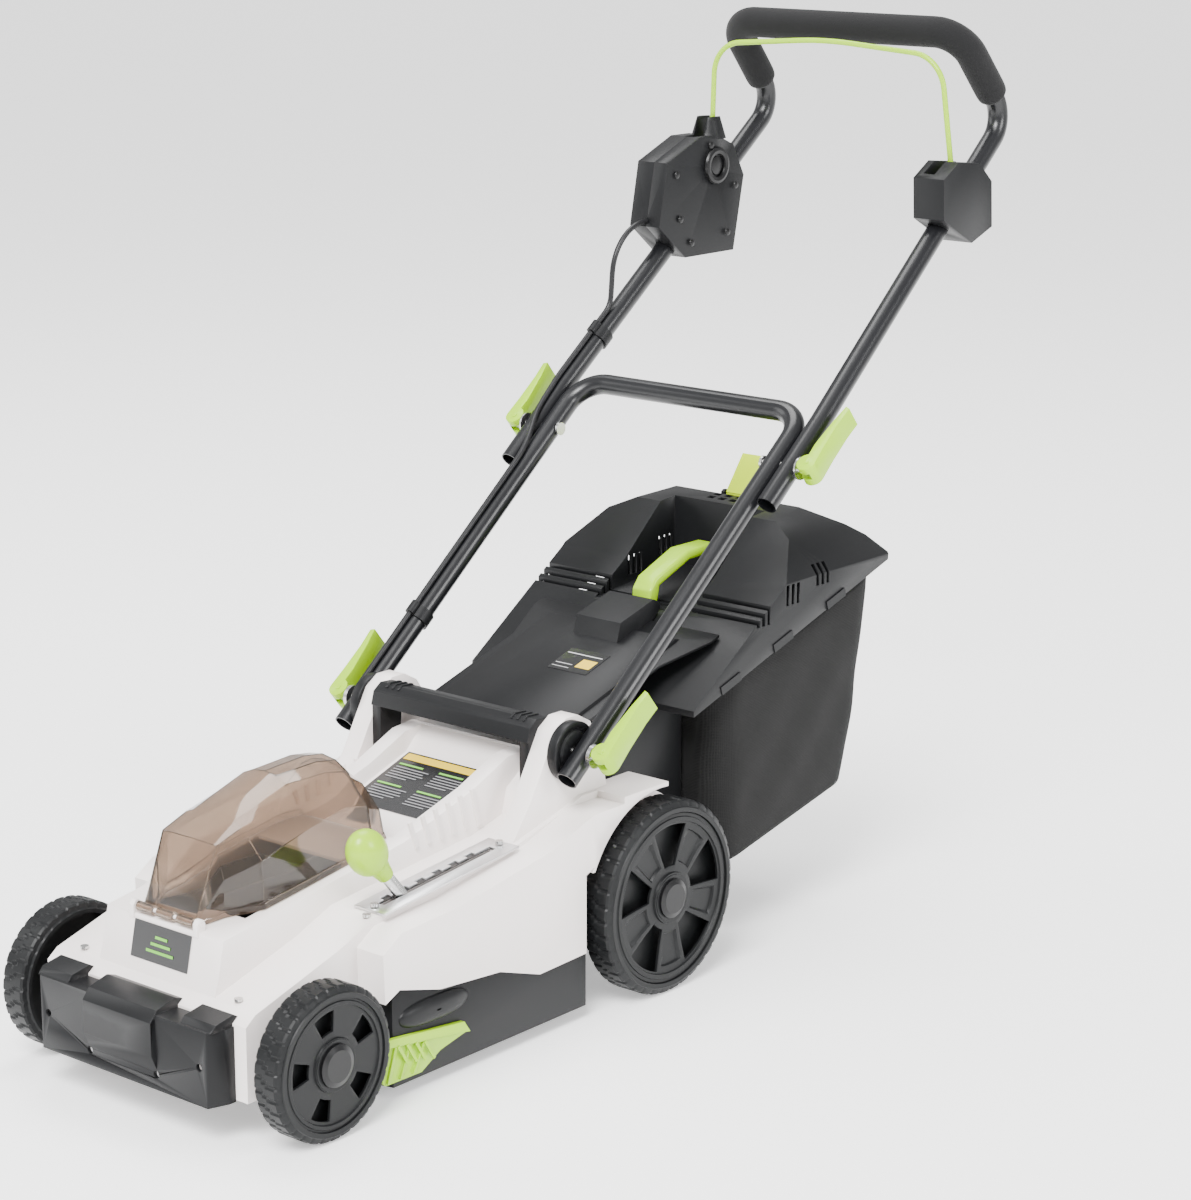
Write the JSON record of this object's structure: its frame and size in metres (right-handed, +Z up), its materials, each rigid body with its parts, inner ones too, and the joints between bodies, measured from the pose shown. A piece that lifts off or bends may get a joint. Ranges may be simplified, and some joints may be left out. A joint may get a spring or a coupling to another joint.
{
  "type": "push lawn mower",
  "caption": "Cordless walk-behind lawn mower with a folding handle, smoked battery cover, height lever, rear flap and fabric grass bag.",
  "frame": {"origin": "on the ground under the middle of the part's box", "axes": "+X to the mower's left, +Y to the rear where the user stands, +Z up"},
  "size_m": [0.416, 1.1694, 0.942],
  "materials": {
    "deck_white": "satin moulded",
    "black_plastic": "fine texture",
    "lime_plastic": "satin moulded",
    "label_black": "printed film",
    "contact_brass": "plated",
    "board_green": "coated board",
    "motor_metal": "as made",
    "plate_silver": "brushed",
    "steel": "zinc plated",
    "pin_white": "moulded",
    "blade_steel": "black painted steel",
    "axle_steel": "zinc plated",
    "wheel_black": "moulded",
    "cap_black": "satin",
    "smoked_clear": "smoked clear plastic",
    "bag_fabric": "woven polyester",
    "flag_lime": "bright moulded",
    "tube_black": "powder coated",
    "cable_black": "smooth jacket",
    "foam_black": "closed cell foam",
    "bail_lime": "coated wire"
  },
  "bodies": {
    "deck": {"upper_deck": "deck_white", "lower_deck": "black_plastic", "discharge_chute": "black_plastic", "front_bumper": "black_plastic", "edge_combs": "lime_plastic", "deck_labels": "label_black", "battery_tray": "black_plastic", "battery_terminals": "contact_brass", "controller_board": "board_green", "motor_mount": "motor_metal", "motor": "motor_metal", "carry_handle": "black_plastic", "height_plate": "plate_silver", "deck_screws": "steel", "handle_hubs": "black_plastic", "hinge_pins": "pin_white", "linkage_brackets": "black_plastic"},
    "rotor": {"motor_shaft": "steel", "blade_flange": "motor_metal", "blade": "blade_steel", "blade_bolt": "steel"},
    "front_axle_set": {"front_axle": "axle_steel"},
    "rear_axle_set": {"rear_axle": "axle_steel"},
    "link": {"link_rod": "axle_steel"},
    "height_lever_set": {"height_lever": "steel", "height_knob": "lime_plastic"},
    "front_left_wheel": {"front_wheel_left": "wheel_black", "front_cap_left": "cap_black"},
    "front_right_wheel": {"front_wheel_right": "wheel_black", "front_cap_right": "cap_black"},
    "rear_left_wheel": {"rear_wheel_left": "wheel_black", "rear_cap_left": "cap_black"},
    "rear_right_wheel": {"rear_wheel_right": "wheel_black", "rear_cap_right": "cap_black"},
    "cover": {"battery_cover": "smoked_clear"},
    "flap": {"rear_flap": "black_plastic", "rating_label": "label_black"},
    "bag": {"bag_lid": "black_plastic", "bag_fabric": "bag_fabric", "bag_frame": "black_plastic", "bag_handle": "lime_plastic"},
    "flag": {"fill_flag": "flag_lime"},
    "lower_handle": {"lower_handle_tube": "tube_black", "lower_bolts": "steel", "lower_cable_clip": "black_plastic", "lower_cable": "cable_black"},
    "upper_handle": {"upper_handle_tube": "tube_black", "foam_grip": "foam_black", "switch_box": "black_plastic", "switch_box_cover": "black_plastic", "bail_clamp": "black_plastic", "upper_bolts": "steel", "upper_cable_clip": "black_plastic", "upper_cable": "cable_black"},
    "bail_loop": {"bail": "bail_lime"},
    "button": {"start_button": "cap_black"},
    "lower_left_cam": {"cam_lever_lower_left": "lime_plastic"},
    "lower_right_cam": {"cam_lever_lower_right": "lime_plastic"},
    "upper_left_cam": {"cam_lever_upper_left": "lime_plastic"},
    "upper_right_cam": {"cam_lever_upper_right": "lime_plastic"}
  },
  "joints": [
    {"name": "rotor_spin", "type": "hinge", "parent": "deck", "child": "rotor", "pos_m": [0, -0.2794, 0.05], "axis": [0, 0, 1], "continuous": true},
    {"name": "rear_crank", "type": "hinge", "parent": "deck", "child": "rear_axle_set", "pos_m": [0, 0.0228, 0.0863], "axis": [1, 0, 0], "range_deg": [0, 60]},
    {"name": "front_crank", "type": "hinge", "parent": "deck", "child": "front_axle_set", "pos_m": [0, -0.4568, 0.0593], "axis": [1, 0, 0], "range_deg": [0, 60]},
    {"name": "link_pivot", "type": "hinge", "parent": "rear_axle_set", "child": "link", "pos_m": [0.113, 0.0398, 0.1157], "axis": [1, 0, 0], "range_deg": [-60, 0]},
    {"name": "height_lever_pivot", "type": "hinge", "parent": "deck", "child": "height_lever_set", "pos_m": [0.1215, -0.2899, 0.1175], "axis": [-1, 0, 0], "range_deg": [0, 80]},
    {"name": "front_left_wheel_spin", "type": "hinge", "parent": "front_axle_set", "child": "front_left_wheel", "pos_m": [0.17, -0.4944, 0.073], "axis": [1, 0, 0], "continuous": true},
    {"name": "front_right_wheel_spin", "type": "hinge", "parent": "front_axle_set", "child": "front_right_wheel", "pos_m": [-0.17, -0.4944, 0.073], "axis": [1, 0, 0], "continuous": true},
    {"name": "rear_left_wheel_spin", "type": "hinge", "parent": "rear_axle_set", "child": "rear_left_wheel", "pos_m": [0.165, -0.0148, 0.1], "axis": [1, 0, 0], "continuous": true},
    {"name": "rear_right_wheel_spin", "type": "hinge", "parent": "rear_axle_set", "child": "rear_right_wheel", "pos_m": [-0.165, -0.0148, 0.1], "axis": [1, 0, 0], "continuous": true},
    {"name": "battery_cover_hinge", "type": "hinge", "parent": "deck", "child": "cover", "pos_m": [0, -0.5214, 0.179], "axis": [1, 0, 0], "range_deg": [0, 95]},
    {"name": "flap_hinge", "type": "hinge", "parent": "deck", "child": "flap", "pos_m": [0, -0.0924, 0.262], "axis": [1, 0, 0], "range_deg": [0, 70]},
    {"name": "bag_slide", "type": "slide", "parent": "deck", "child": "bag", "axis": [0, 0.9579, 0.2871], "range_m": [0, 0.33]},
    {"name": "fill_flag_hinge", "type": "hinge", "parent": "bag", "child": "flag", "pos_m": [0, 0.3336, 0.428], "axis": [1, 0, 0], "range_deg": [-70, 0]},
    {"name": "lower_fold", "type": "hinge", "parent": "deck", "child": "lower_handle", "pos_m": [0, -0.1114, 0.2665], "axis": [-1, 0, 0], "range_deg": [-135, 0]},
    {"name": "upper_fold", "type": "hinge", "parent": "lower_handle", "child": "upper_handle", "pos_m": [0, 0.1866, 0.507], "axis": [1, 0, 0], "range_deg": [0, 150]},
    {"name": "bail_hinge", "type": "hinge", "parent": "upper_handle", "child": "bail_loop", "pos_m": [0, 0.4776, 0.782], "axis": [-1, 0, 0], "range_deg": [0, 6], "stiffness_Nm_per_rad": 0.6, "springref_deg": -17.19},
    {"name": "start_button_press", "type": "slide", "parent": "upper_handle", "child": "button", "axis": [-1, 0, 0], "range_m": [0, 0.0025], "stiffness_N_per_m": 600, "springref_m": -0.001},
    {"name": "lower_left_cam_hinge", "type": "hinge", "parent": "lower_handle", "child": "lower_left_cam", "pos_m": [0.178, -0.1114, 0.2665], "axis": [0, 0.628, -0.7782], "range_deg": [0, 90]},
    {"name": "lower_right_cam_hinge", "type": "hinge", "parent": "lower_handle", "child": "lower_right_cam", "pos_m": [-0.178, -0.1114, 0.2665], "axis": [0, -0.628, 0.7782], "range_deg": [0, 90]},
    {"name": "upper_left_cam_hinge", "type": "hinge", "parent": "upper_handle", "child": "upper_left_cam", "pos_m": [0.1975, 0.1866, 0.507], "axis": [0, 0.628, -0.7782], "range_deg": [0, 90]},
    {"name": "upper_right_cam_hinge", "type": "hinge", "parent": "upper_handle", "child": "upper_right_cam", "pos_m": [-0.1975, 0.1866, 0.507], "axis": [0, -0.628, 0.7782], "range_deg": [0, 90]}
  ],
  "couplings": [
    {"joint": "front_crank", "follows": "rear_crank", "ratio": 1},
    {"joint": "link_pivot", "follows": "rear_crank", "ratio": -1},
    {"joint": "height_lever_pivot", "follows": "rear_crank", "ratio": 1.3333}
  ]
}
